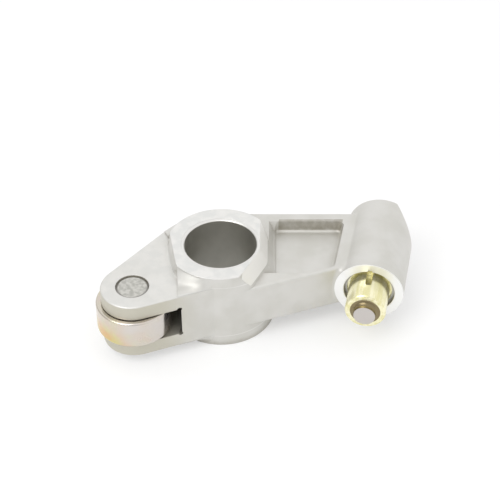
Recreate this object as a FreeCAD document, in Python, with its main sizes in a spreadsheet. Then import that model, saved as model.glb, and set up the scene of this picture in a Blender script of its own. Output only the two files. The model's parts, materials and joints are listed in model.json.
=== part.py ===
import FreeCAD, Part
import math
import os

import Sketcher
from FreeCAD import Placement, Rotation, Vector

# Roller rocker arm of a heavy diesel engine, with a hydraulic brake piston.
# Origin: centre of the shaft bore at half its length. +Z runs along the shaft bore,
# -Y is the way the piston pushes, +X points at the piston boss. Millimetres.

SIZES = [
    # Shaft hub and its bush
    ("shaft_bore_dia", 36.0, "running bore of the shaft bush"),
    ("shaft_bush_wall", 1.5, "wall of the shaft bush"),
    ("shaft_bush_recess", 0.1, "bush end below the hub face"),
    ("hub_dia", 54.0, "outside of the hub"),
    ("hub_length", 44.0, "hub along the shaft"),
    ("hub_slope_inset", 7.3, "slope cut off the hub face on the arm side"),
    ("hub_slope_draft", 24.0, "lean of that slope above the flanges, degrees"),
    ("hub_foot_draft", 32.0, "lean of its foot in the pocket, degrees"),
    ("hub_skirt_turn", 25.9, "turn of the slope towards the front flange, degrees"),
    ("hub_skirt_round", 12.0, "rounding of that turn"),
    ("bore_chamfer", 0.3, "chamfer at the mouth of the piston bore"),
    ("bush_bevel", 0.5, "bevel at the mouths of the bushes"),
    # Fork and cam roller
    ("roller_left", 37.4, "roller axis left of the shaft axis"),
    ("roller_front", 32.5, "roller axis in front of the shaft axis"),
    ("fork_height", 32.0, "across both ears"),
    ("ear_radius", 15.8, "round end of the ears"),
    ("fork_front_inset", 3.0, "front wall of the fork inside the hub's round"),
    ("fork_back_stand", 6.2, "back wall of the fork outside the hub's round"),
    ("fork_crown_stand", 4.5, "crown of the fork outside the hub's round"),
    ("slot_width", 16.2, "gap between the ears"),
    ("slot_radius", 25.0, "radius of the slot's closed end about the roller axis"),
    ("slot_relief_dia", 2.0, "relief groove in the corners of the slot"),
    ("roller_dia", 37.0, "cam roller"),
    ("roller_side_gap", 0.5, "roller to ear, each side"),
    ("roller_edge", 1.2, "rounded rim of the roller"),
    ("roller_face_recess", 0.5, "dish in the roller's end faces"),
    ("roller_land", 2.6, "flat rings inside and outside of that dish"),
    ("pin_dia", 16.6, "roller pin"),
    ("pin_end_chamfer", 1.3, "bevel on the pin's ends, seen as a dark ring"),
    ("pin_recess", 0.4, "pin end below the ear face"),
    ("roller_bush_wall", 2.2, "wall of the roller's bush"),
    ("running_clearance", 0.03, "radial, bush on pin"),
    ("spray_hole_dia", 2.6, "oil hole from the shaft bore to the roller"),
    # Arm between the hub and the boss
    ("arm_height", 24.0, "flanges of the arm, top to bottom"),
    ("arm_angle", 10.2, "the arm's back edge against the X axis, degrees"),
    ("arm_back_stand", 9.8, "back edge outside the hub's round"),
    ("arm_front_angle", 30.5, "the arm's front face against the X axis, degrees"),
    ("web_thickness", 12.0, "web between the pockets"),
    ("back_flange", 7.4, "land of the back flange"),
    ("front_flange_land", 16.2, "land of the front flange beside the hub"),
    ("front_flange_edge", 1.9, "thinnest land of the front flange"),
    ("pocket_near_inset", 0.5, "pocket edge inside the hub's round"),
    ("pocket_end_land", 18.0, "pocket edge beside the boss, from the piston axis"),
    ("pocket_draft", 8.0, "draft of the pocket walls, degrees"),
    ("pocket_corner", 3.0, "corner radius of the pockets"),
    ("pocket_floor_round", 2.0, "fillet round the floor of the pockets"),
    ("back_round", 2.5, "rounded outer edges of the back flange"),
    ("front_round", 1.2, "rounded outer edges of the front flange"),
    ("step_round", 2.0, "rounded step from the fork to the arm, behind the hub"),
    ("ear_round", 1.0, "rounded rims of the ears"),
    ("foot_fillet", 2.0, "fillet at the foot of the hub"),
    ("boss_fillet", 3.0, "fillet where the arm runs into the boss"),
    # Piston boss
    ("boss_across", 75.0, "piston axis, right of the shaft axis"),
    ("boss_front", 2.0, "ring face of the boss behind the shaft axis"),
    ("boss_dia", 34.8, "outside of the boss"),
    ("boss_back_stand", 4.6, "back of the boss behind the arm's back edge"),
    ("boss_back_round", 1.6, "rounded back end of the boss"),
    ("facet_start", 6.7, "flat for the oil drilling, right of the piston axis at the back"),
    ("facet_angle", 33.0, "way the flat faces, against the X axis, degrees"),
    ("gallery_dia", 4.5, "oil drilling from the boss to the shaft bore"),
    ("plug_dia", 8.0, "seat of the plug that closes the drilling"),
    ("plug_length", 6.0, "length of that plug"),
    ("plug_socket", 4.0, "hexagon socket of the plug, across its flats"),
    # Brake piston
    ("piston_bore_dia", 25.4, "bore of the boss"),
    ("piston_clearance", 0.02, "radial, piston in its bore"),
    ("mouth_to_groove", 2.4, "ring face to the retaining ring"),
    ("ring_thickness", 1.3, "retaining ring"),
    ("ring_groove_depth", 1.1, "groove for the ring, radial"),
    ("ring_cover", 1.3, "how far the ring stands inside the bore"),
    ("ring_gap", 5.0, "gap between the ring's ends"),
    ("pry_notch_width", 2.2, "notch in the ring face to lift the ring out"),
    ("skirt_bevel", 0.6, "bevel at the piston's open end"),
    ("nose_dia", 20.4, "piston nose"),
    ("nose_bevel", 0.5, "bevel round the end of the nose"),
    ("nose_reach", 14.9, "nose end in front of the ring face"),
    ("neck_dia", 15.8, "root of the waisted neck"),
    ("tip_dia", 10.8, "ground tip"),
    ("tip_length", 3.4, "neck and tip in front of the nose"),
    ("nose_slot_width", 3.0, "slot along the top of the nose"),
    ("nose_slot_depth", 3.0, "its depth"),
    ("nose_slot_reach", 6.6, "its closed end in front of the ring face"),
    ("piston_skirt", 18.0, "full-bore length of the piston"),
    ("piston_cavity_dia", 17.0, "hollow of the piston"),
    ("piston_crown", 4.0, "metal between the hollow and the shoulder, and in the nose"),
    ("piston_travel", 3.0, "inward stroke of the piston"),
    # Check valve behind the piston
    ("feed_chamber_dia", 20.0, "feed space behind the valve plate"),
    ("seat_thickness", 3.0, "valve plate"),
    ("seat_clearance", 0.05, "valve plate in its bore, radial"),
    ("seat_hole_dia", 4.2, "oil hole of the valve plate"),
    ("seat_cone", 0.9, "conical ball seat, 45 degrees"),
    ("ball_dia", 6.0, "check ball"),
    ("ball_lift", 0.8, "lift of the check ball"),
    ("cage_wall", 0.6, "sheet of the ball cage"),
    ("cage_flange_dia", 16.0, "flange of the ball cage"),
    ("cage_clearance", 0.2, "radial, ball in its cage"),
    ("cage_height", 8.2, "ball cage, from the valve plate to its top"),
    ("cage_window", 2.4, "width of the cage's windows"),
    ("ball_spring_wire", 0.5, "wire of the ball spring"),
    ("ball_spring_dia", 4.1, "outside of the ball spring"),
    ("ball_spring_turns", 4.0, "its turns"),
    ("piston_spring_wire", 1.6, "wire of the piston spring"),
    ("piston_spring_gap", 0.4, "radial, spring in the piston's hollow"),
    ("piston_spring_turns", 4.5, "its turns"),
]

ORIGIN = (-1, 1)


def fill_sheet(doc):
    """Put the driving sizes on a sheet, one named cell each."""
    sheet = doc.addObject("Spreadsheet::Sheet", "Sizes")
    for row, (alias, value, note) in enumerate(SIZES, 1):
        sheet.set(f"A{row}", note)
        sheet.set(f"B{row}", str(value))
        sheet.setAlias(f"B{row}", alias)
    doc.recompute()
    return sheet


def tied(formula):
    """Turn the size names of a formula into references to the sheet."""
    words = formula.replace("(", "( ").replace(")", " )").split()
    return " ".join("Sizes." + word if "_" in word else word for word in words)


def bind(thing, **formulas):
    """Tie properties of an object to formulas on the sheet."""
    for path, formula in formulas.items():
        thing.setExpression(path.replace("__", "."), tied(formula))


def new_body(doc, label):
    """An empty body, labelled with the name of its file."""
    body = doc.addObject("PartDesign::Body", label)
    body.Label = label
    return body


def new_sketch(body, name, role="XY_Plane", lift=None, shift=None, turn=None):
    """A sketch on an origin plane, moved and turned about +Z by formulas on the sheet."""
    sketch = body.newObject("Sketcher::SketchObject", name)
    plane = next(f for f in body.Origin.OriginFeatures if f.Role == role)
    sketch.AttachmentSupport = [(plane, "")]
    sketch.MapMode = "FlatFace"
    upright = Vector(0, 0, 1) if role == "XY_Plane" else Vector(0, 1, 0)
    sketch.AttachmentOffset = Placement(Vector(), Rotation(upright, 0.001))
    if shift:
        bind(sketch, AttachmentOffset__Base__x=shift)
    if lift:
        bind(sketch, AttachmentOffset__Base__z=lift)
    if turn:
        bind(sketch, AttachmentOffset__Rotation__Angle=turn)
    return sketch


def dimension(sketch, kind, where, formula, start=1.0):
    """A driving dimension of a sketch, drawn at a start value and then tied to the sheet."""
    index = sketch.addConstraint(Sketcher.Constraint(kind, *where, start))
    sketch.setExpression(f"Constraints[{index}]", tied(formula))
    sketch.recompute()


def place(sketch, point, across, up):
    """Fix a point of a sketch by two formulas; a leading minus picks the other side."""
    for kind, formula, axis in (("DistanceX", across, -2), ("DistanceY", up, -1)):
        spot = sketch.getPoint(*point)
        start = max(abs(spot.x if kind == "DistanceX" else spot.y), 0.1)
        if formula is None:
            continue
        if formula == "0":
            sketch.addConstraint(Sketcher.Constraint("PointOnObject", *point, axis))
        elif formula.startswith("-"):
            dimension(sketch, kind, (*point, *ORIGIN), formula[1:].strip(), start)
        else:
            dimension(sketch, kind, (*ORIGIN, *point), formula, start)


def polygon(sketch, corners):
    """A closed outline of straight lines through corners given as formulas."""
    count = len(corners)
    ring = [Vector(math.cos(math.tau * i / count), math.sin(math.tau * i / count))
            for i in range(count)]
    lines = [Part.LineSegment(ring[i], ring[(i + 1) % count]) for i in range(count)]
    ids = sketch.addGeometry(lines, False)
    for i, line in enumerate(ids):
        sketch.addConstraint(Sketcher.Constraint("Coincident", line, 2, ids[(i + 1) % count], 1))
    for line, corner in zip(ids, corners):
        place(sketch, (line, 1), *corner)
    return ids


def circle(sketch, across, up, radius):
    """A circle with its centre and radius given as formulas."""
    ring = sketch.addGeometry(Part.Circle(Vector(1, 1, 0), Vector(0, 0, 1), 5), False)
    place(sketch, (ring, 3), across, up)
    dimension(sketch, "Radius", (ring,), radius)
    return ring


def spin_axis(sketch, start, end):
    """A construction line that a profile turns about."""
    line = sketch.addGeometry(Part.LineSegment(Vector(0, -3, 0), Vector(0, 3, 0)), True)
    place(sketch, (line, 1), *start)
    place(sketch, (line, 2), *end)
    return line


def extrude(body, kind, sketch, name, length=None, both_ways=False, back=False, draft=None):
    """A pad or pocket of a sketch; without a length it goes through everything."""
    feature = body.newObject("PartDesign::" + kind, name)
    feature.Profile = sketch
    feature.SideType = "Symmetric" if both_ways else "One side"
    feature.Reversed = back
    if length:
        bind(feature, Length=length)
    else:
        feature.Type = "ThroughAll"
    if draft:
        bind(feature, TaperAngle=draft)
    body.Document.recompute()
    return feature


def turned(body, kind, sketch, name, axis=None):
    """A revolution or groove of a profile about its construction line or an axis."""
    feature = body.newObject("PartDesign::" + kind, name)
    feature.Profile = sketch
    feature.ReferenceAxis = axis or (sketch, ["Axis0"])
    feature.Angle = 360
    body.Document.recompute()
    return feature


def edges_where(shape, wanted):
    """Names of the edges whose middle point passes a test."""
    names = []
    for number, edge in enumerate(shape.Edges, 1):
        middle = edge.valueAt((edge.FirstParameter + edge.LastParameter) / 2)
        if wanted(edge, middle):
            names.append(f"Edge{number}")
    return names


def edge_finish(body, kind, name, size, wanted):
    """Fillet or chamfer the edges of a body that pass a test."""
    base = body.Tip
    feature = body.newObject("PartDesign::" + kind, name)
    feature.Base = (base, edges_where(base.Shape, wanted))
    bind(feature, **{"Radius" if kind == "Fillet" else "Size": size})
    body.Document.recompute()
    return feature


def is_ring(edge, radius):
    """True for a round edge of this radius."""
    return isinstance(edge.Curve, Part.Circle) and abs(edge.Curve.Radius - radius) < 0.01


def fork_outline(sketch, size, crown_stand):
    """Plan of the fork: crown blend, back wall, round ear, front wall, hub corner."""
    turn, hub_r = math.radians(size["arm_angle"]), size["hub_dia"] / 2
    left, front, ear_r = size["roller_left"], size["roller_front"], size["ear_radius"]
    back, face = hub_r + size["fork_back_stand"], hub_r - size["fork_front_inset"]
    top = hub_r + size[crown_stand]
    ear = Vector(-left * math.cos(turn) - front * math.sin(turn),
                 left * math.sin(turn) - front * math.cos(turn))
    bearing = math.atan2(ear.y, ear.x)
    back_way = bearing - math.acos((back - ear_r) / ear.Length)
    face_way = bearing + math.acos((face - ear_r) / ear.Length)
    to_back = Vector(math.cos(back_way), math.sin(back_way))
    to_face = Vector(math.cos(face_way), math.sin(face_way))
    blend = (back - top * to_back.y) / (1 - to_back.y)
    middle = Vector(0, top - blend)
    shoulder = (to_back + Vector(0, 1)).normalize()
    outward = Vector(ear).normalize()
    crown, centre = Vector(0, top), Vector()
    ids = sketch.addGeometry([
        Part.Arc(crown, middle + shoulder * blend, middle + to_back * blend),
        Part.LineSegment(middle + to_back * blend, ear + to_back * ear_r),
        Part.Arc(ear + to_back * ear_r, ear + outward * ear_r, ear + to_face * ear_r),
        Part.LineSegment(ear + to_face * ear_r, to_face * face),
        Part.LineSegment(to_face * face, centre),
        Part.LineSegment(centre, crown),
    ], False)
    crown_arc, back_wall, ear_arc, front_wall, hub_edge, step_edge = ids
    ends = [(g, p, sketch.getPoint(g, p)) for g in ids for p in (1, 2)]
    smooth = {(crown_arc, back_wall), (back_wall, ear_arc), (ear_arc, front_wall)}
    for n, (one, end, spot) in enumerate(ends):
        for other, start, there in ends[n + 1:]:
            if one == other or spot.distanceToPoint(there) > 0.001:
                continue
            joint = "Tangent" if (one, other) in smooth else "Coincident"
            sketch.addConstraint(Sketcher.Constraint(joint, one, end, other, start))
    sketch.addConstraint(Sketcher.Constraint("Coincident", step_edge, 1, *ORIGIN))
    place(sketch, (step_edge, 2), "0", "hub_dia / 2 + " + crown_stand)
    place(sketch, (crown_arc, 3), "0", None)
    dimension(sketch, "Distance", (*ORIGIN, back_wall), "hub_dia / 2 + fork_back_stand", back)
    dimension(sketch, "Radius", (ear_arc,), "ear_radius", ear_r)
    place(sketch, (ear_arc, 3), "-" + EAR_ACROSS, "-" + EAR_UP)
    sketch.addConstraint(Sketcher.Constraint("Perpendicular", hub_edge, front_wall))
    dimension(sketch, "Distance", (hub_edge,), "hub_dia / 2 - fork_front_inset", face)


EAR_ACROSS = "( roller_left * cos( arm_angle ) + roller_front * sin( arm_angle ) )"
EAR_UP = "( roller_front * cos( arm_angle ) - roller_left * sin( arm_angle ) )"
ARM_BACK = "( hub_dia / 2 + arm_back_stand )"
BOSS_BACK = (f"( ( {ARM_BACK} + boss_across * sin( arm_angle ) ) / cos( arm_angle )"
             " + boss_back_stand )")
FACET_REACH = f"( {BOSS_BACK} * sin( facet_angle ) + facet_start * cos( facet_angle ) )"
GALLERY_END = f"( boss_across * cos( facet_angle ) + {FACET_REACH} )"
CHAMBER_END = ("( ( boss_across - feed_chamber_dia / 2 ) * tan( facet_angle )"
               " + gallery_dia / 2 )")
SLOPE_TOP = "( hub_dia / 2 - hub_slope_inset )"
SLOPE_FOOT = f"( {SLOPE_TOP} + ( hub_length - arm_height ) / 2 * tan( hub_slope_draft ) )"
ROLLER_REACH = "sqrt( roller_left * roller_left + roller_front * roller_front )"
RING_BACK = "mouth_to_groove + ring_thickness"
FLANGE_TOP = RING_BACK + " + piston_skirt + piston_travel"
PLATE_FRONT = FLANGE_TOP + " + cage_wall"
PLATE_BACK = PLATE_FRONT + " + seat_thickness"
SHOULDER = "boss_front + " + PLATE_BACK
BALL_HEIGHT = "( ball_dia / 2 * sqrt( 2 ) - seat_hole_dia / 2 - seat_cone )"
COIL_RADIUS = "( ( ball_spring_dia - ball_spring_wire ) / 2 )"
COIL_REACH = "( ( ball_dia + ball_spring_wire ) / 2 )"
SPRING_FOOT = (f"( {BALL_HEIGHT} + sqrt( {COIL_REACH} * {COIL_REACH} - {COIL_RADIUS}"
               f" * {COIL_RADIUS} ) - ball_spring_wire / 2 )")
ROLLER_BORE = "pin_dia / 2 + running_clearance + roller_bush_wall"
TO_ROLLER = "180 deg + atan( roller_front / roller_left )"


def forging(body, size):
    """The raw shape: arm plate, fork, hub and boss, with their fillets."""
    back = Rotation(Vector(0, 0, 1), -size["arm_angle"])
    arm_half, fork_half = size["arm_height"] / 2, size["fork_height"] / 2
    hub_r, boss_r = size["hub_dia"] / 2, size["boss_dia"] / 2
    arm_back = hub_r + size["arm_back_stand"]

    def at_height(middle, half):
        return abs(abs(middle.z) - half) < 0.01

    def on_back_flange(edge, middle):
        reach = back.multVec(middle).y
        return at_height(middle, arm_half) and abs(reach - arm_back) < 0.01

    def on_front_flange(edge, middle):
        flat = back.multVec(middle)
        return at_height(middle, arm_half) and flat.y < 0 and flat.x > hub_r

    def on_step(edge, middle):
        return at_height(middle, fork_half) and abs(back.multVec(middle).x) < 0.01

    def on_fork_rim(edge, middle):
        outside = math.hypot(middle.x, middle.y) > hub_r + 0.1
        return at_height(middle, fork_half) and outside

    def on_hub_foot(edge, middle):
        on_hub = abs(math.hypot(middle.x, middle.y) - hub_r) < 0.02
        beside_fork = arm_half + 0.1 < abs(middle.z) < size["hub_length"] / 2 - 0.1
        return on_hub and beside_fork and not isinstance(edge.Curve, Part.Line)

    def on_boss_side(edge, middle):
        across = middle.x - size["boss_across"]
        on_boss = abs(math.hypot(across, middle.z) - boss_r) < 0.02
        return on_boss and middle.y > size["boss_front"] + 0.1 and not is_ring(edge, boss_r)

    def on_boss_back(edge, middle):
        return is_ring(edge, boss_r) and middle.y > size["boss_front"] + boss_r

    plan = new_sketch(body, "ArmPlan", turn="arm_angle")
    slant = "( arm_front_angle - arm_angle )"
    polygon(plan, [
        ("0", "0"),
        (f"hub_dia / 2 * sin( {slant} )", f"-hub_dia / 2 * cos( {slant} )"),
        ("boss_across", f"( boss_across * sin( {slant} ) - hub_dia / 2 ) / cos( {slant} )"),
        ("boss_across", ARM_BACK),
        ("0", ARM_BACK),
    ])
    extrude(body, "Pad", plan, "ArmPlate", "arm_height", both_ways=True)
    crown = new_sketch(body, "CrownPlan", turn="arm_angle")
    fork_outline(crown, size, "arm_back_stand")
    extrude(body, "Pad", crown, "CrownPlate", "arm_height", both_ways=True)
    edge_finish(body, "Fillet", "BackRound", "back_round", on_back_flange)
    edge_finish(body, "Fillet", "FrontRound", "front_round", on_front_flange)

    fork = new_sketch(body, "ForkPlan", turn="arm_angle")
    fork_outline(fork, size, "fork_crown_stand")
    extrude(body, "Pad", fork, "ForkPlate", "fork_height", both_ways=True)
    edge_finish(body, "Fillet", "StepRound", "step_round", on_step)

    hub = new_sketch(body, "HubPlan")
    circle(hub, "0", "0", "hub_dia / 2")
    extrude(body, "Pad", hub, "Hub", "hub_length", both_ways=True)
    edge_finish(body, "Fillet", "EarRound", "ear_round", on_fork_rim)
    edge_finish(body, "Fillet", "HubFoot", "foot_fillet", on_hub_foot)

    boss = new_sketch(body, "BossProfile")
    rim = "boss_across + boss_dia / 2"
    polygon(boss, [("boss_across", "boss_front"), (rim, "boss_front"), (rim, BOSS_BACK),
                   ("boss_across", BOSS_BACK)])
    spin_axis(boss, ("boss_across", "boss_front"), ("boss_across", BOSS_BACK))
    turned(body, "Revolution", boss, "Boss")
    edge_finish(body, "Fillet", "BossRoot", "boss_fillet", on_boss_side)
    edge_finish(body, "Fillet", "BossBack", "boss_back_round", on_boss_back)


def mirrored(body, originals, name):
    """Repeat features on the other side of the mid-plane."""
    feature = body.newObject("PartDesign::Mirrored", name)
    feature.Originals = originals
    plane = next(f for f in body.Origin.OriginFeatures if f.Role == "XY_Plane")
    feature.MirrorPlane = (plane, [""])
    body.Tip = feature
    body.Document.recompute()
    return feature


def slope_outline(sketch, near, front, far, inner):
    """Plan of the cut that leaves the hub's slope: straight, then turned to the front."""
    polygon(sketch, [
        (far, "-" + front), (far, inner), (near, inner),
        (near, f"-{near} * tan( hub_skirt_turn / 2 )"),
        (f"( {near} - {front} * sin( hub_skirt_turn ) ) / cos( hub_skirt_turn )", "-" + front),
    ])


def arm_relief(body, size):
    """The I-section: drafted pockets on both sides, and the slope up to the hub face."""
    back = Rotation(Vector(0, 0, 1), -size["arm_angle"])
    floor, top = size["web_thickness"] / 2, size["arm_height"] / 2
    hub_r, hub_top = size["hub_dia"] / 2, size["hub_length"] / 2
    near, inner = hub_r - size["pocket_near_inset"], ARM_BACK + " - back_flange"
    front = "( hub_dia / 2 - front_flange_land )"
    depth = "( arm_height - web_thickness ) / 2"

    def in_corner(edge, middle):
        flat = back.multVec(middle)
        along = near < flat.x and middle.x < size["boss_across"] - size["pocket_end_land"]
        across = size["front_flange_land"] - hub_r < flat.y
        within = flat.y < hub_r + size["arm_back_stand"] - size["back_flange"]
        return along and across and within and floor + 1 < abs(middle.z) < top - 1

    def on_floor(edge, middle):
        return abs(abs(middle.z) - floor) < 0.01

    def on_skirt_turn(edge, middle):
        between = top + 1 < middle.z < hub_top - 1
        return between and middle.x > 0 and math.hypot(middle.x, middle.y) < hub_r - 1

    pocket_plan = new_sketch(body, "PocketPlan", lift="arm_height / 2", turn="arm_angle")
    edge, end = "hub_dia / 2 - pocket_near_inset", "( boss_across - pocket_end_land )"
    slant, rib = "( arm_front_angle - arm_angle )", "( hub_dia / 2 - front_flange_edge )"
    polygon(pocket_plan, [
        (edge, "-" + front),
        (f"( {rib} - {front} * cos( {slant} ) ) / sin( {slant} )", "-" + front),
        (f"( {end} * cos( {slant} ) - {rib} * sin( arm_angle ) ) / cos( arm_front_angle )",
         f"( {end} * sin( {slant} ) - {rib} * cos( arm_angle ) ) / cos( arm_front_angle )"),
        (f"( {end} + ( {inner} ) * sin( arm_angle ) ) / cos( arm_angle )", inner),
        (edge, inner)])
    pocket = extrude(body, "Pocket", pocket_plan, "WebPocket", depth,
                     draft="0 - pocket_draft")
    mirrored(body, [pocket], "WebPockets")
    edge_finish(body, "Fillet", "PocketCorners", "pocket_corner", in_corner)
    edge_finish(body, "Fillet", "PocketFloor", "pocket_floor_round", on_floor)

    slope = new_sketch(body, "SlopePlan", lift="hub_length / 2", turn="arm_angle")
    slope_outline(slope, SLOPE_TOP, "( hub_dia / 2 + foot_fillet + 7 )",
                  "( hub_dia / 2 + foot_fillet + 7 )", ARM_BACK)
    extrude(body, "Pocket", slope, "HubSlope", "( hub_length - arm_height ) / 2",
            draft="0 - hub_slope_draft")
    edge_finish(body, "Fillet", "SkirtRound", "hub_skirt_round", on_skirt_turn)
    foot = new_sketch(body, "SlopeFootPlan", lift="arm_height / 2", turn="arm_angle")
    slope_outline(foot, SLOPE_FOOT, front, SLOPE_FOOT + " + 2 * pocket_corner", inner)
    extrude(body, "Pocket", foot, "SlopeFoot", depth + " - pocket_floor_round",
            draft="0 - hub_foot_draft")


def machining(body, size):
    """Bores, slot, drilling and edges, as cut in the finished forging."""
    pin = ("-roller_left", "-roller_front")

    bore = new_sketch(body, "HubBore")
    circle(bore, "0", "0", "shaft_bore_dia / 2 + shaft_bush_wall")
    extrude(body, "Pocket", bore, "BushHousing", both_ways=True)

    slot = new_sketch(body, "SlotPlan")
    circle(slot, *pin, "slot_radius")
    extrude(body, "Pocket", slot, "ForkSlot", "slot_width", both_ways=True)

    relief = new_sketch(body, "ReliefProfile", "XZ_Plane", lift="roller_front")
    circle(relief, "slot_radius - slot_relief_dia / 4 - roller_left",
           "slot_width / 2", "slot_relief_dia / 2")
    spin_axis(relief, ("-roller_left", "-slot_width"), ("-roller_left", "slot_width"))
    groove = turned(body, "Groove", relief, "SlotRelief")
    mirrored(body, [groove], "SlotReliefs")

    eyes = new_sketch(body, "PinEyes")
    circle(eyes, *pin, "pin_dia / 2")
    extrude(body, "Pocket", eyes, "PinBore", both_ways=True)

    spray = new_sketch(body, "SprayProfile", turn=TO_ROLLER)
    polygon(spray, [("shaft_bore_dia / 2", "0"), ("shaft_bore_dia / 2", "spray_hole_dia / 2"),
                    (ROLLER_REACH + " - slot_radius / 2", "spray_hole_dia / 2"),
                    (ROLLER_REACH + " - slot_radius / 2", "0")])
    spin_axis(spray, ("shaft_bore_dia / 2", "0"), (ROLLER_REACH, "0"))
    turned(body, "Groove", spray, "SprayHole")

    flat = new_sketch(body, "FacetPlan", shift="boss_across", turn="facet_angle")
    polygon(flat, [(FACET_REACH, "0"), (FACET_REACH + " + boss_dia", "0"),
                   (FACET_REACH + " + boss_dia", BOSS_BACK), (FACET_REACH, BOSS_BACK)])
    extrude(body, "Pocket", flat, "DrillingFlat", both_ways=True)

    gallery = new_sketch(body, "GalleryProfile", turn="facet_angle")
    seat = GALLERY_END + " - plug_length"
    polygon(gallery, [("shaft_bore_dia / 2", "0"), ("shaft_bore_dia / 2", "gallery_dia / 2"),
                      (seat, "gallery_dia / 2"), (seat, "plug_dia / 2"),
                      (GALLERY_END, "plug_dia / 2"), (GALLERY_END, "0")])
    spin_axis(gallery, ("shaft_bore_dia / 2", "0"), (GALLERY_END, "0"))
    turned(body, "Groove", gallery, "OilGallery")

    cylinder = new_sketch(body, "PistonBoreProfile")
    wall = "boss_across + piston_bore_dia / 2"
    groove = wall + " + ring_groove_depth"
    ring_front = "boss_front + mouth_to_groove"
    ring_back = ring_front + " + ring_thickness"
    chamber = "boss_across + feed_chamber_dia / 2"
    polygon(cylinder, [
        ("boss_across", "boss_front"), (wall + " + bore_chamfer", "boss_front"),
        (wall, "boss_front + bore_chamfer"), (wall, ring_front),
        (groove, ring_front), (groove, ring_back), (wall, ring_back), (wall, SHOULDER),
        (chamber, SHOULDER), (chamber, CHAMBER_END), ("boss_across", CHAMBER_END)])
    spin_axis(cylinder, ("boss_across", "boss_front"), ("boss_across", SHOULDER))
    turned(body, "Groove", cylinder, "PistonBore")

    notch = new_sketch(body, "PryNotchPlan", "XZ_Plane", lift="0 - boss_front")
    low, high = "piston_bore_dia / 2 - ring_cover", "piston_bore_dia / 2 + ring_groove_depth"
    polygon(notch, [("boss_across - pry_notch_width / 2", low),
                    ("boss_across + pry_notch_width / 2", low),
                    ("boss_across + pry_notch_width / 2", high),
                    ("boss_across - pry_notch_width / 2", high)])
    extrude(body, "Pocket", notch, "PryNotch", "mouth_to_groove")


def arm_body(doc, size):
    """The forging: fork, hub, I-section arm and boss, with all that is machined in it."""
    body = new_body(doc, "arm_body")
    forging(body, size)
    arm_relief(body, size)
    machining(body, size)
    return body


def lathe(doc, label, corners):
    """A piece turned about its own Z axis, from corners given as radius and height."""
    body = new_body(doc, label)
    profile = new_sketch(body, label + "_profile", "XZ_Plane")
    polygon(profile, corners)
    turned(body, "Revolution", profile, label + "_turned", (profile, ["V_Axis"]))
    return body


def on_pin(body):
    """Set a piece on the roller axis."""
    bind(body, Placement__Base__x="0 - roller_left", Placement__Base__y="0 - roller_front")
    return body


def in_boss(body, depth):
    """Point a piece's +Z the way the piston pushes, its origin this deep in the bore."""
    body.Placement = Placement(Vector(), Rotation(Vector(1, 0, 0), 90))
    bind(body, Placement__Base__x="boss_across", Placement__Base__y="boss_front + " + depth)
    return body


def symmetric_tube(doc, label, inner, outer, half):
    """A tube about its own Z axis, bevelled at both mouths."""
    return lathe(doc, label, [
        (inner + " + bush_bevel", "-" + half), (outer, "-" + half), (outer, half),
        (inner + " + bush_bevel", half), (inner, half + " - bush_bevel"),
        (inner, "-( " + half + " - bush_bevel )")])


def drill_across(body, name, dia, turn):
    """A radial oil hole at half height, through one wall of a tube."""
    plan = new_sketch(body, name + "_profile", turn=turn)
    polygon(plan, [("0", "0"), ("hub_dia / 2", "0"), ("hub_dia / 2", dia + " / 2"),
                   ("0", dia + " / 2")])
    turned(body, "Groove", plan, name, (plan, ["H_Axis"]))


def shaft_bush(doc):
    """Pressed bush of the shaft bore, drilled for the two oil ways."""
    body = symmetric_tube(doc, "shaft_bush", "shaft_bore_dia / 2",
                          "shaft_bore_dia / 2 + shaft_bush_wall",
                          "( hub_length / 2 - shaft_bush_recess )")
    drill_across(body, "GalleryHole", "gallery_dia", "facet_angle")
    drill_across(body, "SprayFeed", "spray_hole_dia", TO_ROLLER)
    return body


def roller_pin(doc):
    """Plain pin pressed through both ears, bevelled at its ends."""
    half = "( fork_height / 2 - pin_recess )"
    bevelled = "pin_dia / 2 - pin_end_chamfer"
    return on_pin(lathe(doc, "roller_pin", [
        ("0", "-" + half), (bevelled, "-" + half),
        ("pin_dia / 2", "-( fork_height / 2 - pin_recess - pin_end_chamfer / 2 )"),
        ("pin_dia / 2", "fork_height / 2 - pin_recess - pin_end_chamfer / 2"),
        (bevelled, half), ("0", half)]))


def cam_roller(doc, size):
    """Hardened roller with rounded rims and a shallow dish in each face."""
    half = "( slot_width / 2 - roller_side_gap )"
    dish = "( slot_width / 2 - roller_side_gap - roller_face_recess )"
    inner, outer = ROLLER_BORE + " + roller_land", "roller_dia / 2 - roller_land"
    body = on_pin(lathe(doc, "cam_roller", [
        (ROLLER_BORE, "-" + half), (inner, "-" + half), (inner, "-" + dish),
        (outer, "-" + dish), (outer, "-" + half), ("roller_dia / 2", "-" + half),
        ("roller_dia / 2", half), (outer, half), (outer, dish), (inner, dish),
        (inner, half), (ROLLER_BORE, half)]))
    edge_finish(body, "Fillet", "RollerRims", "roller_edge",
                lambda edge, middle: is_ring(edge, size["roller_dia"] / 2))
    return body


def roller_bush(doc):
    """Bush pressed in the roller, running on the pin."""
    return on_pin(symmetric_tube(doc, "roller_bush", "pin_dia / 2 + running_clearance",
                                 ROLLER_BORE, "( slot_width / 2 - roller_side_gap )"))


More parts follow.
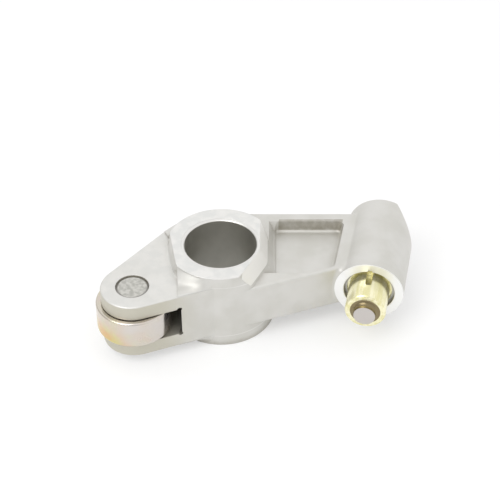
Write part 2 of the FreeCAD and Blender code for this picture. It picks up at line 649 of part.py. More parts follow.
def brake_piston(doc, size):
    """Hollow piston: full-bore skirt, slotted nose, waisted neck and ground tip."""
    skirt, nose = "piston_bore_dia / 2 - piston_clearance", "nose_dia / 2"
    nose_end = RING_BACK + " + nose_reach"
    body = in_boss(lathe(doc, "brake_piston", [
        ("piston_cavity_dia / 2", "-piston_skirt"), (skirt + " - skirt_bevel", "-piston_skirt"),
        (skirt, "-( piston_skirt - skirt_bevel )"), (skirt, "0"), (nose, "0"),
        (nose, nose_end + " - nose_bevel"), (nose + " - nose_bevel", nose_end),
        ("tip_dia / 2", nose_end), ("tip_dia / 2", nose_end + " + tip_length"),
        ("0", nose_end + " + tip_length"), ("0", "-piston_crown"),
        ("piston_cavity_dia / 2", "-piston_crown")]), RING_BACK)
    reach = size["mouth_to_groove"] + size["ring_thickness"] + size["nose_reach"]

    def at_neck(edge, middle):
        return is_ring(edge, size["tip_dia"] / 2) and middle.z < reach + 0.01

    edge_finish(body, "Fillet", "WaistedNeck", "( neck_dia - tip_dia ) / 2", at_neck)
    round_end = RING_BACK + " + nose_slot_reach - nose_slot_width / 2"
    floor = "nose_slot_depth - nose_dia / 2"
    slot = new_sketch(body, "NoseSlotPlan", "XZ_Plane", lift=floor)
    polygon(slot, [("-nose_slot_width / 2", "0"), ("nose_slot_width / 2", "0"),
                   ("nose_slot_width / 2", round_end), ("-nose_slot_width / 2", round_end)])
    extrude(body, "Pocket", slot, "NoseSlot", "nose_slot_depth + ring_thickness")
    end = new_sketch(body, "NoseSlotEndPlan", "XZ_Plane", lift=floor)
    circle(end, "0", round_end, "nose_slot_width / 2")
    extrude(body, "Pocket", end, "NoseSlotEnd", "nose_slot_depth + ring_thickness")
    return body


def snap_ring(doc):
    """Retaining ring in the boss groove, its gap away from the pry notch."""
    body = in_boss(lathe(doc, "snap_ring", [
        ("piston_bore_dia / 2 - ring_cover", "0"),
        ("piston_bore_dia / 2 + ring_groove_depth", "0"),
        ("piston_bore_dia / 2 + ring_groove_depth", "ring_thickness"),
        ("piston_bore_dia / 2 - ring_cover", "ring_thickness")]), RING_BACK)
    gap = new_sketch(body, "RingGapPlan")
    polygon(gap, [("-ring_gap / 2", "-boss_dia / 2"), ("ring_gap / 2", "-boss_dia / 2"),
                  ("ring_gap / 2", "0"), ("-ring_gap / 2", "0")])
    extrude(body, "Pocket", gap, "RingGap", back=True)
    return body


def coil_spring(doc, label, outside, wire, length, turns):
    """Open wire coil standing on its own XY plane."""
    body = new_body(doc, label)
    section = new_sketch(body, label + "_wire", "XZ_Plane")
    circle(section, f"( {outside} - {wire} ) / 2", f"{wire} / 2", f"{wire} / 2")
    coil = body.newObject("PartDesign::AdditiveHelix", label + "_coil")
    coil.Profile = section
    coil.ReferenceAxis = (section, ["V_Axis"])
    coil.Mode = "height-turns-angle"
    bind(coil, Height=f"{length} - {wire}", Turns=turns)
    doc.recompute()
    return body


def valve_seat(doc):
    """Hardened plate with the oil hole and the conical seat of the check ball."""
    rim, hole = "piston_bore_dia / 2 - seat_clearance", "seat_hole_dia / 2"
    return in_boss(lathe(doc, "valve_seat", [
        (hole, "0"), (rim, "0"), (rim, "seat_thickness"),
        (hole + " + seat_cone", "seat_thickness"), (hole, "seat_thickness - seat_cone")]),
        PLATE_BACK)


def check_ball(doc):
    """Ball of the check valve, resting on its cone."""
    body = new_body(doc, "check_ball")
    ball = body.newObject("PartDesign::AdditiveSphere", "Ball")
    bind(ball, Radius="ball_dia / 2")
    doc.recompute()
    return in_boss(body, PLATE_FRONT + " - " + BALL_HEIGHT)


def ball_cage(doc):
    """Sheet cap over the ball, with a flange held by the piston spring and four windows."""
    inner, flange = "( ball_dia / 2 + cage_clearance )", "cage_flange_dia / 2"
    outer = inner + " + cage_wall"
    body = in_boss(lathe(doc, "ball_cage", [
        (inner, "0"), (flange, "0"), (flange, "cage_wall"), (outer, "cage_wall"),
        (outer, "cage_height"), ("0", "cage_height"), ("0", "cage_height - cage_wall"),
        (inner, "cage_height - cage_wall")]), PLATE_FRONT)
    for side in ("XZ_Plane", "YZ_Plane"):
        window = new_sketch(body, "WindowPlan", side)
        polygon(window, [("-cage_window / 2", "2 * cage_wall"),
                         ("cage_window / 2", "2 * cage_wall"),
                         ("cage_window / 2", "cage_height - 2 * cage_wall"),
                         ("-cage_window / 2", "cage_height - 2 * cage_wall")])
        extrude(body, "Pocket", window, "Windows", both_ways=True)
    return body


def gallery_plug(doc):
    """Screw plug at the flat, with a hexagon socket; its own X axis is the drilling."""
    body = new_body(doc, "gallery_plug")
    side = new_sketch(body, "PlugProfile")
    polygon(side, [("0", "0"), ("0", "plug_dia / 2"), ("plug_length", "plug_dia / 2"),
                   ("plug_length", "0")])
    turned(body, "Revolution", side, "PlugBarrel", (side, ["H_Axis"]))
    key = new_sketch(body, "SocketPlan", "YZ_Plane", lift="plug_length")
    half, corner = "plug_socket / 2", "plug_socket / 2 / cos( 30 )"
    polygon(key, [(corner, "0"), (corner + " / 2", half), ("-" + corner + " / 2", half),
                  ("-" + corner, "0"), ("-" + corner + " / 2", "-" + half),
                  (corner + " / 2", "-" + half)])
    extrude(body, "Pocket", key, "Socket", "plug_length / 2")
    bind(body, Placement__Rotation__Angle="facet_angle",
         Placement__Base__x="( " + GALLERY_END + " - plug_length ) * cos( facet_angle )",
         Placement__Base__y="( " + GALLERY_END + " - plug_length ) * sin( facet_angle )")
    return body


def main():
    doc = FreeCAD.newDocument("rocker_arm")
    fill_sheet(doc)
    size = {alias: value for alias, value, note in SIZES}
    parts = [
        arm_body(doc, size), shaft_bush(doc), roller_pin(doc), cam_roller(doc, size),
        roller_bush(doc), brake_piston(doc, size), snap_ring(doc), valve_seat(doc),
        check_ball(doc), ball_cage(doc), gallery_plug(doc),
        in_boss(coil_spring(doc, "piston_spring", "( piston_cavity_dia - 2 * piston_spring_gap )",
                            "piston_spring_wire",
                            "piston_skirt + piston_travel - piston_crown",
                            "piston_spring_turns"), FLANGE_TOP),
        in_boss(coil_spring(doc, "ball_spring", "ball_spring_dia", "ball_spring_wire",
                            "cage_height - cage_wall - " + SPRING_FOOT,
                            "ball_spring_turns"), PLATE_FRONT + " - " + SPRING_FOOT),
    ]
    doc.recompute()
    os.makedirs("parts", exist_ok=True)
    for thing in doc.Objects:
        if {"Invalid", "Error"} & set(thing.State):
            raise RuntimeError(f"{thing.Name} failed")
    for part in parts:
        if part.Shape.isNull() or not part.Shape.isValid():
            raise RuntimeError(f"{part.Label} has no valid shape")
        part.Shape.exportStep(f"parts/{part.Label}.step")
        print(part.Label, round(part.Shape.Volume, 1), len(part.Shape.Solids))


main()
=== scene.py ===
import json
import math

import bmesh
import bpy
import numpy as np
from mathutils import Matrix, Vector


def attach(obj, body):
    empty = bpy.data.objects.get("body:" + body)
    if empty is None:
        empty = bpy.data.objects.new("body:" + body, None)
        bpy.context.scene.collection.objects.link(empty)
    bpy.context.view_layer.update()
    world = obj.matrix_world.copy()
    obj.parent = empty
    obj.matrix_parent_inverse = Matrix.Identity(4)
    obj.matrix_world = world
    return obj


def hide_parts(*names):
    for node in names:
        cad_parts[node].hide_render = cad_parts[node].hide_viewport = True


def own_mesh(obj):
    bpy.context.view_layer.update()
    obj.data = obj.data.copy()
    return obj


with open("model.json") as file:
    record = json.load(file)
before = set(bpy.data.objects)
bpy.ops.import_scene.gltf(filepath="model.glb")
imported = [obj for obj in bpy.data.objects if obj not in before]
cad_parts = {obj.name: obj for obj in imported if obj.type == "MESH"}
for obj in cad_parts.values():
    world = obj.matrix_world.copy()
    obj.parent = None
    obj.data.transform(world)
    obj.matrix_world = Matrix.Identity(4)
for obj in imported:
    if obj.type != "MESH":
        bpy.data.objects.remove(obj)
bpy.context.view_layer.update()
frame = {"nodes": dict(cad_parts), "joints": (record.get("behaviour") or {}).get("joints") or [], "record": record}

# The arm: one precision casting of steel with the hub, the fork, the pocketed web and the
# piston boss. It is blasted all over to a fine satin skin, then the hub's faces, the fork's
# faces and the ring face of the boss are machined bright. Its corners carry painted shade.
joints = {joint["name"]: joint for joint in frame["joints"]}
mounts = {mount["name"]: mount["pos_m"] for mount in frame["record"]["mounts"]}
shaft_axis = mounts["shaft_bore"]
pin_axis = joints["roller_spin"]["pos_m"]
boss_axis = (mounts["piston_tip"][0], 0.0, 0.0)
hub_top = mounts["hub_face_top"][2]
hub_radius = 0.0270
fork_top = 0.0160
boss_front, boss_radius = 0.0020, 0.0174
slot_half, slot_radius = 0.0081, 0.0250
margin, hair, weld_distance = 0.0002, 0.00005, 2e-6
upwards, backwards = (0, 0, 1), (0, 1, 0)


class Socket:
    """One shader output; arithmetic on it adds Math nodes and gives a new Socket."""

    def __init__(self, work, output):
        self.work, self.output = work, output

    def _math(self, operation, a, b=0.0, clamp=False):
        return self.work.node("ShaderNodeMath", {"operation": operation, "use_clamp": clamp},
                              {0: a, 1: b})

    def __add__(self, other):
        return self._math("ADD", self, other)

    def __radd__(self, other):
        return self._math("ADD", other, self)

    def __sub__(self, other):
        return self._math("SUBTRACT", self, other)

    def __rsub__(self, other):
        return self._math("SUBTRACT", other, self)

    def __mul__(self, other):
        return self._math("MULTIPLY", self, other)

    def __rmul__(self, other):
        return self._math("MULTIPLY", other, self)

    def above(self, other):
        return self._math("GREATER_THAN", self, other)

    def below(self, other):
        return self._math("LESS_THAN", self, other)

    def size(self):
        return self._math("ABSOLUTE", self)

    def clamped(self):
        return self._math("ADD", self, 0.0, True)


class NodeWork:
    """A shader tree in the making, for the arm's metals and for the studio."""

    def __init__(self, tree):
        self.tree = tree

    def node(self, kind, settings=None, sockets=None, out=0):
        """Add a node: settings are its properties, sockets its values or links."""
        added = self.tree.nodes.new(kind)
        for name, value in (settings or {}).items():
            setattr(added, name, value)
        for name, value in (sockets or {}).items():
            target = added.inputs[name]
            if isinstance(value, Socket):
                self.tree.links.new(value.output, target)
            else:
                target.default_value = value
        return Socket(self, added.outputs[out])

    def mix(self, factor, one, two):
        """The colour one where the factor is 0 and the colour two where it is 1."""
        return self.node("ShaderNodeMix", {"data_type": "RGBA"}, {0: factor, 6: one, 7: two}, 2)

    def spread(self, value, low, high, to_low=0.0, to_high=1.0):
        """The value taken smoothly from low..high to to_low..to_high, and held outside."""
        return self.node("ShaderNodeMapRange", {"interpolation_type": "SMOOTHSTEP"},
                         {0: value, 1: low, 2: high, 3: to_low, 4: to_high})

    def vector(self, operation, one, two=(0.0, 0.0, 0.0), out="Vector"):
        return self.node("ShaderNodeVectorMath", {"operation": operation}, {0: one, 1: two}, out)


class Finish(NodeWork):
    """The surface of one of the arm's metals, or of the table under it."""

    def __init__(self, name, **fixed):
        self.material = bpy.data.materials.new(name)
        self.material.use_nodes = True
        NodeWork.__init__(self, self.material.node_tree)
        self.shader = self.tree.nodes["Principled BSDF"]
        for socket, value in fixed.items():
            self.shader.inputs[socket.replace("_", " ")].default_value = value

    def where(self, axis=None):
        """Object coordinates in metres, or one of them."""
        spot = self.node("ShaderNodeTexCoord", out="Object")
        return spot if axis is None else self.node("ShaderNodeSeparateXYZ", {}, {0: spot}, axis)

    def from_line(self, point, along):
        """Distance from a line through a point, along a main direction."""
        flat = tuple(0.0 if axis else 1.0 for axis in along)
        apart = self.vector("SUBTRACT", self.where(), point)
        return self.vector("LENGTH", self.vector("MULTIPLY", apart, flat), out="Value")

    def from_plane(self, point, facing):
        """Distance from a plane through a point, on the side that it faces."""
        apart = self.vector("SUBTRACT", self.where(), point)
        return self.vector("DOT_PRODUCT", apart, facing, out="Value")

    def noise(self, scale, detail=2.0, stretch=None):
        """Soft mottle of so many cells to the metre, or of so many along each axis."""
        spot = self.vector("MULTIPLY", self.where(), stretch) if stretch else self.where()
        return self.node("ShaderNodeTexNoise", {},
                         {"Vector": spot, "Scale": scale, "Detail": detail})

    def bump(self, height, strength, distance, normal=None):
        sockets = {"Height": height, "Strength": strength, "Distance": distance}
        if normal:
            sockets["Normal"] = normal
        return self.node("ShaderNodeBump", {}, sockets)

    def soft_edges(self, radius):
        return self.node("ShaderNodeBevel", {"samples": 4}, {"Radius": radius})

    def feed(self, **links):
        for socket, value in links.items():
            self.tree.links.new(value.output, self.shader.inputs[socket.replace("_", " ")])


def skin(node, body, finish, sharp_angle=24.0):
    """The node's own solid with its triangles joined and its round faces shaded smooth."""
    solid = frame["nodes"][node].data
    mesh = solid.copy()
    mesh.name = node + "_skin"
    work = bmesh.new()
    work.from_mesh(mesh)
    bmesh.ops.remove_doubles(work, verts=work.verts, dist=weld_distance)
    work.to_mesh(mesh)
    work.free()
    if mesh.has_custom_normals:
        mesh.attributes.remove(mesh.attributes["custom_normal"])
    mesh.shade_smooth()
    mesh.set_sharp_from_angle(angle=math.radians(sharp_angle))
    mesh.materials.clear()
    mesh.materials.append(finish.material)
    piece = bpy.data.objects.new(node + "_skin", mesh)
    bpy.context.scene.collection.objects.link(piece)
    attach(piece, body)
    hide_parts(node)
    return piece


cast_steel = Finish("blasted_cast_steel", Metallic=0.7)
across, along, up = (cast_steel.where(axis) for axis in range(3))
from_shaft = cast_steel.from_line(shaft_axis, upwards)
from_pin = cast_steel.from_line(pin_axis, upwards)
from_boss_axis = cast_steel.from_line(boss_axis, backwards)

# Where the cutter has been: both hub faces, the fork's faces as far as the boss and the boss's ring
# face. The slope on the hub's edge is painted light, and the closed end of the roller slot is painted
# black as shade.
fork_end = boss_axis[0] - 0.0180
slope_left, slope_foot = 0.0150, 0.0135
bright_from = 0.0300
hub_face = up.size().above(hub_top - margin)
fork_face = (up.size().above(fork_top - margin) * up.size().below(fork_top + margin)
             * across.below(fork_end))
ring_face = along.below(boss_front + margin) * from_boss_axis.below(boss_radius + hair)
slope_face = (from_shaft.below(hub_radius - hair) * up.above(slope_foot)
              * up.below(hub_top - hair) * across.above(slope_left))
slot_end = up.size().below(slot_half) * from_pin.below(slot_radius + margin)
fork_shine = cast_steel.spread(across, shaft_axis[0], bright_from, to_low=0.5)
machined = (hub_face + fork_face * fork_shine + ring_face).clamped()

# Painted shade on the pocket's back wall and in every crevice; oil dried thinly on the fork.
wall_spot, wall_facing = (0.03864, 0.03672, 0.0), (0.1826, -0.9832, 0.0)
wall_depth, wall_left, wall_right = 0.0016, 0.0235, 0.0560
above_web, below_fork = 0.0068, 0.0155
crevice_reach = 0.006
oil_near, oil_far = 0.016, 0.034
# A band of painted shade along the pocket's back wall.
back_wall = (cast_steel.from_plane(wall_spot, wall_facing).size().below(wall_depth)
             * up.size().above(above_web) * up.size().below(below_fork)
             * across.above(wall_left) * across.below(wall_right))
scale = cast_steel.noise(300.0, detail=4.0)
# Painted shade: the colour darkens in every crevice that ambient occlusion finds closed in.
openness = cast_steel.node("ShaderNodeAmbientOcclusion", {"samples": 8},
                           {"Distance": crevice_reach}, "AO")
crevice_shade = cast_steel.spread(openness, 0.40, 0.92, to_low=0.80, to_high=0.0)
wall_painted_shade = back_wall * cast_steel.spread(scale, 0.30, 0.60, to_low=0.45, to_high=0.75)
painted_shade = (wall_painted_shade + crevice_shade * (0.4 + scale)).clamped()
oiled = up.size().below(below_fork) * cast_steel.spread(from_pin, oil_near, oil_far,
                                                        to_low=0.8, to_high=0.0)

cast_dark, cast_light = (0.64, 0.63, 0.59, 1.0), (0.70, 0.69, 0.66, 1.0)
cut_dark, cut_light = (0.745, 0.745, 0.725, 1.0), (0.82, 0.81, 0.785, 1.0)
oil_colour, painted_shade_colour = (0.56, 0.535, 0.44, 1.0), (0.36, 0.335, 0.28, 1.0)
slope_painted_light_colour, ring_colour = (0.92, 0.91, 0.88, 1.0), (0.95, 0.95, 0.945, 1.0)
slot_painted_shade_colour = (0.06, 0.058, 0.056, 1.0)
blotches = cast_steel.spread(cast_steel.noise(70.0, detail=3.0), 0.30, 0.70)
cut_marks = cast_steel.spread(cast_steel.noise(170.0, detail=4.0), 0.38, 0.62)
cast_tone = cast_steel.mix(blotches, cast_dark, cast_light)
cast_tone = cast_steel.mix(oiled, cast_tone, oil_colour)
# The painted shade of the back wall and the crevices darkens the casting's tone here.
cast_tone = cast_steel.mix(painted_shade, cast_tone, painted_shade_colour)
arm_tone = cast_steel.mix(machined, cast_tone, cast_steel.mix(cut_marks, cut_dark, cut_light))
# The slope on the hub's edge is painted lighter than the cut faces: painted light.
arm_tone = cast_steel.mix(slope_face, arm_tone, slope_painted_light_colour)
arm_tone = cast_steel.mix(ring_face, arm_tone, ring_colour)
blast_grain = cast_steel.noise(1100.0, detail=3.0) * (1.0 - machined * 0.8)
skin_height = blast_grain + cast_steel.noise(220.0) * 0.8
cast_steel.feed(
    # The closed end of the roller slot is painted black as shade.
    Base_Color=cast_steel.mix(slot_end, arm_tone, slot_painted_shade_colour),
    Roughness=cast_steel.spread(machined, 0.0, 1.0, to_low=0.50, to_high=0.36),
    Normal=cast_steel.bump(skin_height, strength=0.22, distance=0.0002,
                           normal=cast_steel.soft_edges(radius=0.0005)))
arm_skin = skin("arm_body", "arm", cast_steel)

# The milled shoulder: the cutter that faces the fork's sides runs straight into the hub, so the
# step there is a straight flank with a little draft, and the casting's blend between the fork and
# the hub is left standing behind it on both sides of the bore.
flank_way = np.array([-0.9376, -0.3474])
flank_distance = 0.0258
flank_steepness = 3.0
cut_level = fork_top + 0.00002
fillet_start, fillet_top = 0.0250, fork_top + 0.0020


def mill_flank(spots):
    """Points above the fork's face that stand past the cutter's flank are cut back to it.

    The round fillet at the hub's foot sinks to the fork's face. The rest slides back on to the
    flank, whose distance from the shaft's axis is the flank's own at the fork's face, less the
    height above that face over the steepness.
    """
    height = np.abs(spots[:, 2])
    reach = spots[:, :2] @ flank_way
    low = (reach > fillet_start) & (height > cut_level) & (height < fillet_top + 0.0001)
    spots[low, 2] = np.sign(spots[low, 2]) * cut_level
    fillet = low & (height < fillet_top - 0.0001)
    past = reach - (flank_distance - (np.abs(spots[:, 2]) - fork_top) / flank_steepness)
    past = np.where((past > 0.0) & (height > cut_level) & ~fillet, past, 0.0)
    spots[:, :2] -= past[:, None] * flank_way


arm_spots = np.empty(3 * len(arm_skin.data.vertices))
arm_skin.data.vertices.foreach_get("co", arm_spots)
arm_spots = arm_spots.reshape(-1, 3)
mill_flank(arm_spots)
arm_skin.data.vertices.foreach_set("co", arm_spots.ravel())
arm_skin.data.update()

blend_radius = hub_radius - 0.0004
blend_foot, blend_edge = fork_top - margin, fork_top + hair
blend_rise, step_height = 0.0057, 0.00035


def cast_blend(name, from_angle, to_angle, outer_from, outer_to, side):
    """A closed wedge on the fork's face between the hub's wall and the fork's edge.

    Going along it, a point runs round the hub between two angles while its partner runs straight
    along the fork's edge. Between the two the height falls from just under the hub's face to the
    fork's face as (1 - out) to a power, 3.4 at the flank and 1 where the wedge ends. Two small
    steps of the casting are two waves of (1 - cos) on the way out, which fade along the wedge as
    the square of (1 - on).
    """
    on, out = np.meshgrid(np.linspace(0, 1, 41), np.linspace(0, 1, 25), indexing="ij")
    angle = np.radians(from_angle + (to_angle - from_angle) * on)
    inner = blend_radius * np.stack([np.cos(angle), np.sin(angle)], -1)
    outer = np.array(outer_from) + on[..., None] * (np.array(outer_to) - outer_from)
    plan = inner + out[..., None] * (outer - inner)
    rise = blend_rise * (1 - out) ** (1 + 2.4 * (1 - on) ** 3)
    steps = step_height * (1 - on) ** 2 * (1 - np.cos(4 * np.pi * out))
    top = np.concatenate([plan, (blend_edge + rise + steps)[..., None]], -1)
    foot = np.concatenate([plan, np.full(plan.shape[:2] + (1,), blend_foot)], -1)
    top[..., 2] *= side
    foot[..., 2] *= side
    spots = np.concatenate([top.reshape(-1, 3), foot.reshape(-1, 3)])
    rows, columns = plan.shape[:2]
    number = np.arange(rows * columns).reshape(rows, columns)
    cells = np.stack([number[:-1, :-1], number[1:, :-1], number[1:, 1:], number[:-1, 1:]],
                     -1).reshape(-1, 4)
    rim = np.concatenate([number[0, :], number[1:, -1], number[-1, -2::-1], number[-2:0:-1, 0]])
    after = np.roll(rim, -1)
    lower = rows * columns
    wall = np.stack([rim, after, after + lower, rim + lower], -1)
    mesh = bpy.data.meshes.new(name)
    mesh.from_pydata(spots.tolist(), [], np.concatenate(
        [cells, cells[:, ::-1] + lower, wall]).tolist())
    work = bmesh.new()
    work.from_mesh(mesh)
    bmesh.ops.remove_doubles(work, verts=work.verts, dist=weld_distance)
    bmesh.ops.recalc_face_normals(work, faces=work.faces)
    work.to_mesh(mesh)
    work.free()
    mesh.shade_smooth()
    mesh.set_sharp_from_angle(angle=math.radians(35.0))
    mesh.materials.append(cast_steel.material)
    piece = bpy.data.objects.new(name, mesh)
    bpy.context.scene.collection.objects.link(piece)
    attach(piece, "arm")


front_edge = ((-0.0140, -0.0363), (0.0015, -0.0269))
back_edge = ((-0.0316, 0.0108), (-0.0266, 0.0178))
for side, word in ((1, "upper"), (-1, "lower")):
    cast_blend("front_blend_" + word, 228.5, 273.0, *front_edge, side)
    cast_blend("back_blend_" + word, 172.0, 146.0, *back_edge, side)

# The shaft bush: a plain steel-backed bush pressed in the hub and bored with it, darker on its
# wall and faced off bright together with the hub.
bore_dark, bore_light = (0.38, 0.37, 0.335, 1.0), (0.52, 0.51, 0.46, 1.0)
bush_end_colour = (0.80, 0.79, 0.765, 1.0)
mouth_depth = 0.0005
bush_metal = Finish("bored_bush", Metallic=0.8, Roughness=0.40)
bush_end = bush_metal.where(2).size().above(hub_top - mouth_depth)
bore_tone = bush_metal.mix(bush_metal.noise(120.0, detail=3.0), bore_dark, bore_light)
bush_metal.feed(Base_Color=bush_metal.mix(bush_end, bore_tone, bush_end_colour))
skin("shaft_bush", "arm", bush_metal)

# The roller pin: a ground pin pressed through both ears, its ends bevelled and a little below
# the ears, each bevel painted darker as a ring of shade.
bevel_start, bevel_fade = 0.0070, 0.0003
pin_dark, pin_light = (0.45, 0.445, 0.41, 1.0), (0.62, 0.61, 0.57, 1.0)
bevel_painted_shade_colour = (0.34, 0.33, 0.31, 1.0)
pin_steel = Finish("ground_pin", Metallic=0.75, Roughness=0.42)
bevel = pin_steel.spread(pin_steel.from_line(pin_axis, upwards),
                         bevel_start, bevel_start + bevel_fade)
mottle = pin_steel.noise(450.0, detail=3.0)
pin_tone = pin_steel.mix(pin_steel.spread(mottle, 0.35, 0.65), pin_dark, pin_light)
# The bevel round each end is painted darker as shade.
pin_steel.feed(Base_Color=pin_steel.mix(bevel, pin_tone, bevel_painted_shade_colour),
               Normal=pin_steel.bump(mottle, strength=0.3, distance=0.0002))
skin("roller_pin", "arm", pin_steel)

# The cam roller and its bush: hardened and polished steel, coloured straw and gold by the heat
# treatment, most at the outer end and low on the wall, with a bronze bush pressed in.
gold_from, gold_to = pin_axis[0] - 0.0146, pin_axis[0] + 0.0094
gold_foot, gold_top = -0.0070, 0.0060
bare_roller = (0.66, 0.62, 0.585, 1.0)
temper_gold, temper_straw = (0.72, 0.49, 0.25, 1.0), (0.68, 0.60, 0.25, 1.0)
turning_marks = (60.0, 60.0, 2500.0)
roller_steel = Finish("straw_tinted_roller", Metallic=0.95)
cloud = roller_steel.noise(85.0, detail=3.0)
outer_end = roller_steel.spread(roller_steel.where(0), gold_from, gold_to,
                                to_low=1.0, to_high=0.0)
low_down = roller_steel.spread(roller_steel.where(2), gold_foot, gold_top,
                               to_low=1.0, to_high=0.15)
straw = outer_end * low_down + (cloud - 0.4) * 0.7
temper = roller_steel.mix(roller_steel.spread(roller_steel.noise(190.0, detail=3.0), 0.42, 0.58),
                          temper_gold, temper_straw)
turned = roller_steel.noise(1.0, stretch=turning_marks)
roller_steel.feed(Base_Color=roller_steel.mix((straw * 1.15).clamped(), bare_roller, temper),
                  Roughness=roller_steel.spread(cloud, 0.3, 0.7, to_low=0.16, to_high=0.30),
                  Normal=roller_steel.bump(turned, strength=0.05, distance=0.0001))
skin("cam_roller", "roller", roller_steel)

bronze_dark, bronze_light = (0.42, 0.28, 0.12, 1.0), (0.55, 0.38, 0.18, 1.0)
bronze = Finish("bronze_bush", Metallic=0.95, Roughness=0.4)
bronze.feed(Base_Color=bronze.mix(bronze.noise(300.0), bronze_dark, bronze_light))
skin("roller_bush", "roller", bronze)

# The piston: turned steel with a yellow-green passivated skin, a slot along the top of its
# nose, a waisted neck coloured dark gold and a tip ground bare.
piston_tip = mounts["piston_tip"][1]
tip_depth, neck_depth = 0.00008, 0.00338
plated_dark, plated_light = (0.84, 0.79, 0.44, 1.0), (0.97, 0.93, 0.66, 1.0)
neck_colour, tip_colour = (0.25, 0.20, 0.11, 1.0), (0.60, 0.565, 0.54, 1.0)
plated = Finish("yellow_passivated_steel", Metallic=0.85)
depth = plated.where(1)
neck = depth.below(piston_tip + neck_depth)
ground_tip = depth.below(piston_tip + tip_depth)
streaks = plated.noise(1.0, detail=3.0, stretch=(500.0, 40.0, 500.0))
piston_tone = plated.mix(plated.spread(streaks, 0.35, 0.65), plated_dark, plated_light)
piston_tone = plated.mix(neck, piston_tone, neck_colour)
plated.feed(Base_Color=plated.mix(ground_tip, piston_tone, tip_colour),
            Roughness=plated.spread(ground_tip, 0.0, 1.0, to_low=0.24, to_high=0.45),
            Normal=plated.soft_edges(radius=0.0003))
skin("brake_piston", "piston", plated)

# The retaining ring: a split ring of dark spring steel, stamped to shape and snapped in the
# groove of the boss in front of the piston's shoulder.
spring_dark, spring_light = (0.40, 0.39, 0.36, 1.0), (0.52, 0.51, 0.48, 1.0)
spring_steel = Finish("spring_steel", Metallic=0.9, Roughness=0.35)
spring_steel.feed(Base_Color=spring_steel.mix(spring_steel.noise(400.0),
                                              spring_dark, spring_light))
skin("snap_ring", "arm", spring_steel)

# The check valve behind the piston: a hardened plate at the bottom of the bore, a hardened ball
# and a cage of pressed sheet over it, all held down by the piston's spring.
valve_dark, valve_light = (0.45, 0.45, 0.45, 1.0), (0.56, 0.56, 0.55, 1.0)
valve_steel = Finish("hardened_steel", Metallic=0.95, Roughness=0.3)
valve_steel.feed(Base_Color=valve_steel.mix(valve_steel.noise(400.0), valve_dark, valve_light))
skin("valve_seat", "arm", valve_steel)
skin("ball_cage", "arm", valve_steel)
skin("check_ball", "ball", valve_steel)

# The two coil springs: drawn spring wire, one between the cage's flange and the piston and one
# between the cage and the ball.


def coil_spring(node):
    """A spring's own solid, shaded smooth, with a mesh of its own."""
    spring = skin(node, "arm", spring_steel, sharp_angle=60.0)
    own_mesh(spring)


coil_spring("piston_spring")
coil_spring("ball_spring")

# The plug of the oil drilling: a steel screw plug with a hexagon socket, set in the flat of the
# boss where the drilling starts.
skin("gallery_plug", "arm", valve_steel)

# The studio of the photograph: a white table that keeps a faint shadow, a white dome that is
# darker on the camera's side and the left, one large soft lamp, and the camera.
table_reach, table_height = 4.0, -hub_top - 0.0001
white, pale_grey, black = (1.0, 1.0, 1.0, 1.0), (0.80, 0.80, 0.80, 1.0), (0.0, 0.0, 0.0, 1.0)
paper_white = (0.97, 0.97, 0.97, 1.0)
table_glow_share = 0.40
floor_mesh = bpy.data.meshes.new("floor")
floor_mesh.from_pydata(
    [(x * table_reach, y * table_reach, table_height)
     for x, y in ((-1, -1), (1, -1), (1, 1), (-1, 1))], [], [(0, 1, 2, 3)])
floor = bpy.data.objects.new("floor", floor_mesh)
bpy.context.scene.collection.objects.link(floor)

table = Finish("white_table", Roughness=0.9)
camera_ray, glossy_ray, transmission_ray = (
    table.node("ShaderNodeLightPath", out=ray)
    for ray in ("Is Camera Ray", "Is Glossy Ray", "Is Transmission Ray"))
plain = (camera_ray + glossy_ray + transmission_ray).clamped()
table.feed(Base_Color=table.mix(plain, pale_grey, paper_white))
glow = table.node("ShaderNodeEmission", {}, {"Color": white, "Strength": 1.0})
sheet = Socket(table, table.shader.outputs["BSDF"])
lit = table.node("ShaderNodeMixShader", {}, {0: plain * table_glow_share, 1: sheet, 2: glow})
table.tree.links.new(lit.output, table.tree.nodes["Material Output"].inputs["Surface"])
floor_mesh.materials.append(table.material)

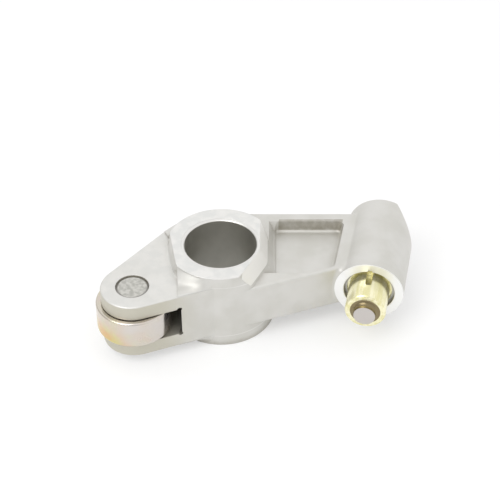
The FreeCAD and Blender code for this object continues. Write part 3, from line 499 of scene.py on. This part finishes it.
scene = bpy.context.scene
scene.view_settings.view_transform = "Standard"
world = bpy.data.worlds.new("studio")
scene.world = world
world.use_nodes = True
dome = NodeWork(world.node_tree)
way = dome.node("ShaderNodeTexCoord", out="Generated")
to_right, to_back, to_top = (dome.node("ShaderNodeSeparateXYZ", {}, {0: way}, axis)
                             for axis in range(3))
level = dome.spread(to_back + to_top + to_right * 0.9, -0.5, 0.9, to_low=0.66, to_high=1.08)
seen = dome.node("ShaderNodeLightPath", out="Is Camera Ray")
dome_tone = dome.mix(seen, dome.mix(level, black, white), white)
background = world.node_tree.nodes["Background"]
world.node_tree.links.new(dome_tone.output, background.inputs["Color"])
background.inputs["Strength"].default_value = 1.0

lamp_spot, lamp_aim = Vector((-0.30, -0.50, 0.70)), Vector((0.02, 0.0, 0.0))
lamp_data = bpy.data.lights.new("key", "AREA")
lamp_data.size, lamp_data.energy = 0.6, 3.0
lamp = bpy.data.objects.new("key", lamp_data)
lamp.location = lamp_spot
lamp.rotation_euler = (lamp_aim - lamp_spot).to_track_quat("-Z", "Y").to_euler()
scene.collection.objects.link(lamp)

azimuth, elevation, roll = math.radians(11.02), math.radians(40.63), math.radians(-0.51)
picture_centre, camera_distance = Vector((0.01053, 0.02278, 0.0)), 0.7867
back = Vector((math.sin(azimuth) * math.cos(elevation), -math.cos(azimuth) * math.cos(elevation),
               math.sin(elevation)))
sideways = Vector((math.cos(azimuth), math.sin(azimuth), 0.0))
upright = back.cross(sideways)
right = sideways * math.cos(roll) + upright * math.sin(roll)
top = upright * math.cos(roll) - sideways * math.sin(roll)
spot = picture_centre + back * camera_distance
camera_data = bpy.data.cameras.new("camera")
camera_data.lens = 109.62
camera_data.clip_start, camera_data.clip_end = 0.02, 20.0
camera = bpy.data.objects.new("camera", camera_data)
camera.matrix_world = Matrix((
    (right.x, top.x, back.x, spot.x), (right.y, top.y, back.y, spot.y),
    (right.z, top.z, back.z, spot.z), (0, 0, 0, 1)))
scene.collection.objects.link(camera)
scene.camera = camera
